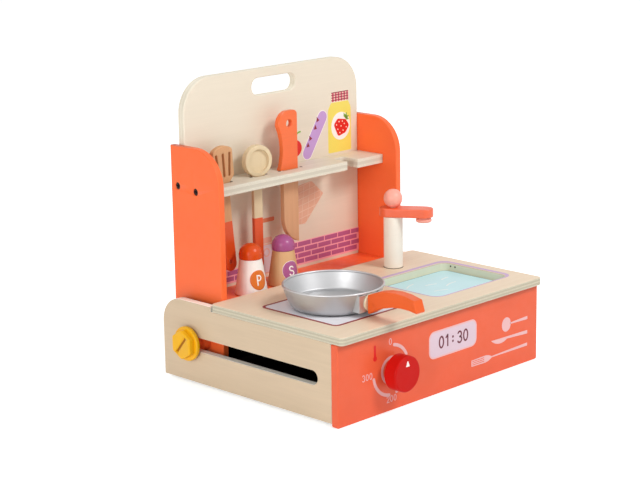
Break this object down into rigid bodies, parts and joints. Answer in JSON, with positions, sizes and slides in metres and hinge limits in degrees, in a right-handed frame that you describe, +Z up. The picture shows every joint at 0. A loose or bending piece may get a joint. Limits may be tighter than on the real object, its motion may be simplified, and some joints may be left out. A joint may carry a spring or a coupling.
{
  "type": "toy kitchen",
  "caption": "Wooden table-top toy kitchen: hob with a pan, sink with a swivel tap, oven dial, and a fold-back hutch with hanging utensils and shakers.",
  "frame": {"origin": "on the table, under the middle of the base's width and depth", "axes": "+Z up; the printed front faces -Y; +X is to the right as seen from the front"},
  "size_m": [0.3204, 0.2817, 0.3],
  "materials": {
    "side_ply": "clear-lacquered plywood",
    "worktop_ply": "clear-lacquered plywood with printed hob and sink rim",
    "back_ply": "whitewashed plywood with printed pictures",
    "pale_ply": "clear-lacquered plywood",
    "orange_front": "satin orange paint with printed symbols",
    "orange_hutch": "satin orange paint",
    "sink_print": "thin plywood with a pale blue print",
    "base_board": "bare fibreboard",
    "batten": "bare softwood",
    "dowel": "bare beech",
    "steel": "bright zinc-plated steel",
    "tap_cream": "satin cream paint",
    "tap_orange": "satin orange paint",
    "tap_pink": "satin pink paint",
    "dial_red": "gloss red paint",
    "knob_yellow": "moulded yellow plastic",
    "bush_plastic": "moulded pale plastic",
    "pan_metal": "satin pressed steel",
    "grip_orange": "satin orange paint",
    "spatula_wood": "clear-lacquered wood with an orange dipped handle",
    "spoon_wood": "clear-lacquered wood with an orange dipped handle",
    "knife_wood": "clear-lacquered wood with an orange painted grip",
    "pepper_white": "satin white paint with a printed badge",
    "pepper_orange": "gloss orange paint",
    "salt_wood": "clear-lacquered wood with a printed badge",
    "salt_purple": "gloss purple paint"
  },
  "bodies": {
    "base": {"base_side_left": "side_ply", "base_side_right": "side_ply", "front_panel": "orange_front", "worktop": "worktop_ply", "sink_board": "sink_print", "base_floor": "base_board", "floor_batten_left": "batten", "floor_batten_right": "batten", "worktop_dowels": "dowel", "front_dowels": "dowel", "floor_screws": "steel", "tap_post": "tap_cream", "tap_pin": "dowel", "tap_ball": "tap_pink"},
    "tap_swivel": {"tap_arm": "tap_orange", "tap_nozzle": "tap_pink"},
    "dial": {"dial_knob": "dial_red", "dial_spindle": "dowel", "dial_retainer": "dowel"},
    "hutch": {"hutch_side_left": "orange_hutch", "hutch_side_right": "orange_hutch", "hutch_back": "back_ply", "hutch_floor": "orange_hutch", "hutch_footboard": "base_board", "hutch_shelf": "pale_ply", "hutch_screws_left": "steel", "hutch_screws_right": "steel", "clamp_bolt_left": "steel", "clamp_bolt_right": "steel", "slide_bush_left": "bush_plastic", "slide_bush_right": "bush_plastic"},
    "knob_left": {"clamp_knob_left": "knob_yellow", "knob_insert_left": "steel"},
    "knob_right": {"clamp_knob_right": "knob_yellow", "knob_insert_right": "steel"},
    "pan": {"pan_body": "pan_metal", "pan_bracket": "pan_metal", "pan_ferrule": "steel", "pan_grip": "grip_orange", "pan_grip_pin": "steel"},
    "spatula": {"spatula": "spatula_wood"},
    "spoon": {"spoon": "spoon_wood"},
    "knife": {"knife": "knife_wood"},
    "pepper": {"pepper_body": "pepper_white", "pepper_cap": "pepper_orange"},
    "salt": {"salt_body": "salt_wood", "salt_cap": "salt_purple"}
  },
  "joints": [
    {"name": "hutch_fold", "type": "hinge", "parent": "base", "child": "hutch", "pos_m": [0, 0.0846, 0.043], "axis": [-1, 0, 0], "range_deg": [0, 90]},
    {"name": "knob_left_turn", "type": "hinge", "parent": "hutch", "child": "knob_left", "pos_m": [-0.155, 0.0846, 0.043], "axis": [-1, 0, 0], "continuous": true},
    {"name": "knob_right_turn", "type": "hinge", "parent": "hutch", "child": "knob_right", "pos_m": [0.155, 0.0846, 0.043], "axis": [1, 0, 0], "continuous": true},
    {"name": "tap_swing", "type": "hinge", "parent": "base", "child": "tap_swivel", "pos_m": [0.0792, 0.018, 0.146], "axis": [0, 0, 1], "continuous": true},
    {"name": "dial_turn", "type": "hinge", "parent": "base", "child": "dial", "pos_m": [-0.0753, -0.13, 0.0405], "axis": [0, -1, 0], "continuous": true},
    {"name": "pan_lift", "type": "slide", "parent": "base", "child": "pan", "axis": [0, 0, 1], "range_m": [0, 0.06]},
    {"name": "spatula_lift", "type": "slide", "parent": "hutch", "child": "spatula", "axis": [-0.0698, 0, 0.9976], "range_m": [0, 0.1]},
    {"name": "spoon_lift", "type": "slide", "parent": "hutch", "child": "spoon", "axis": [0, 0, 1], "range_m": [0, 0.105]},
    {"name": "knife_lift", "type": "slide", "parent": "hutch", "child": "knife", "axis": [0, 0, 1], "range_m": [0, 0.085]},
    {"name": "pepper_lift", "type": "slide", "parent": "hutch", "child": "pepper", "axis": [0, -0.4067, 0.9135], "range_m": [0, 0.08]},
    {"name": "salt_lift", "type": "slide", "parent": "hutch", "child": "salt", "axis": [0, -0.4067, 0.9135], "range_m": [0, 0.08]}
  ]
}
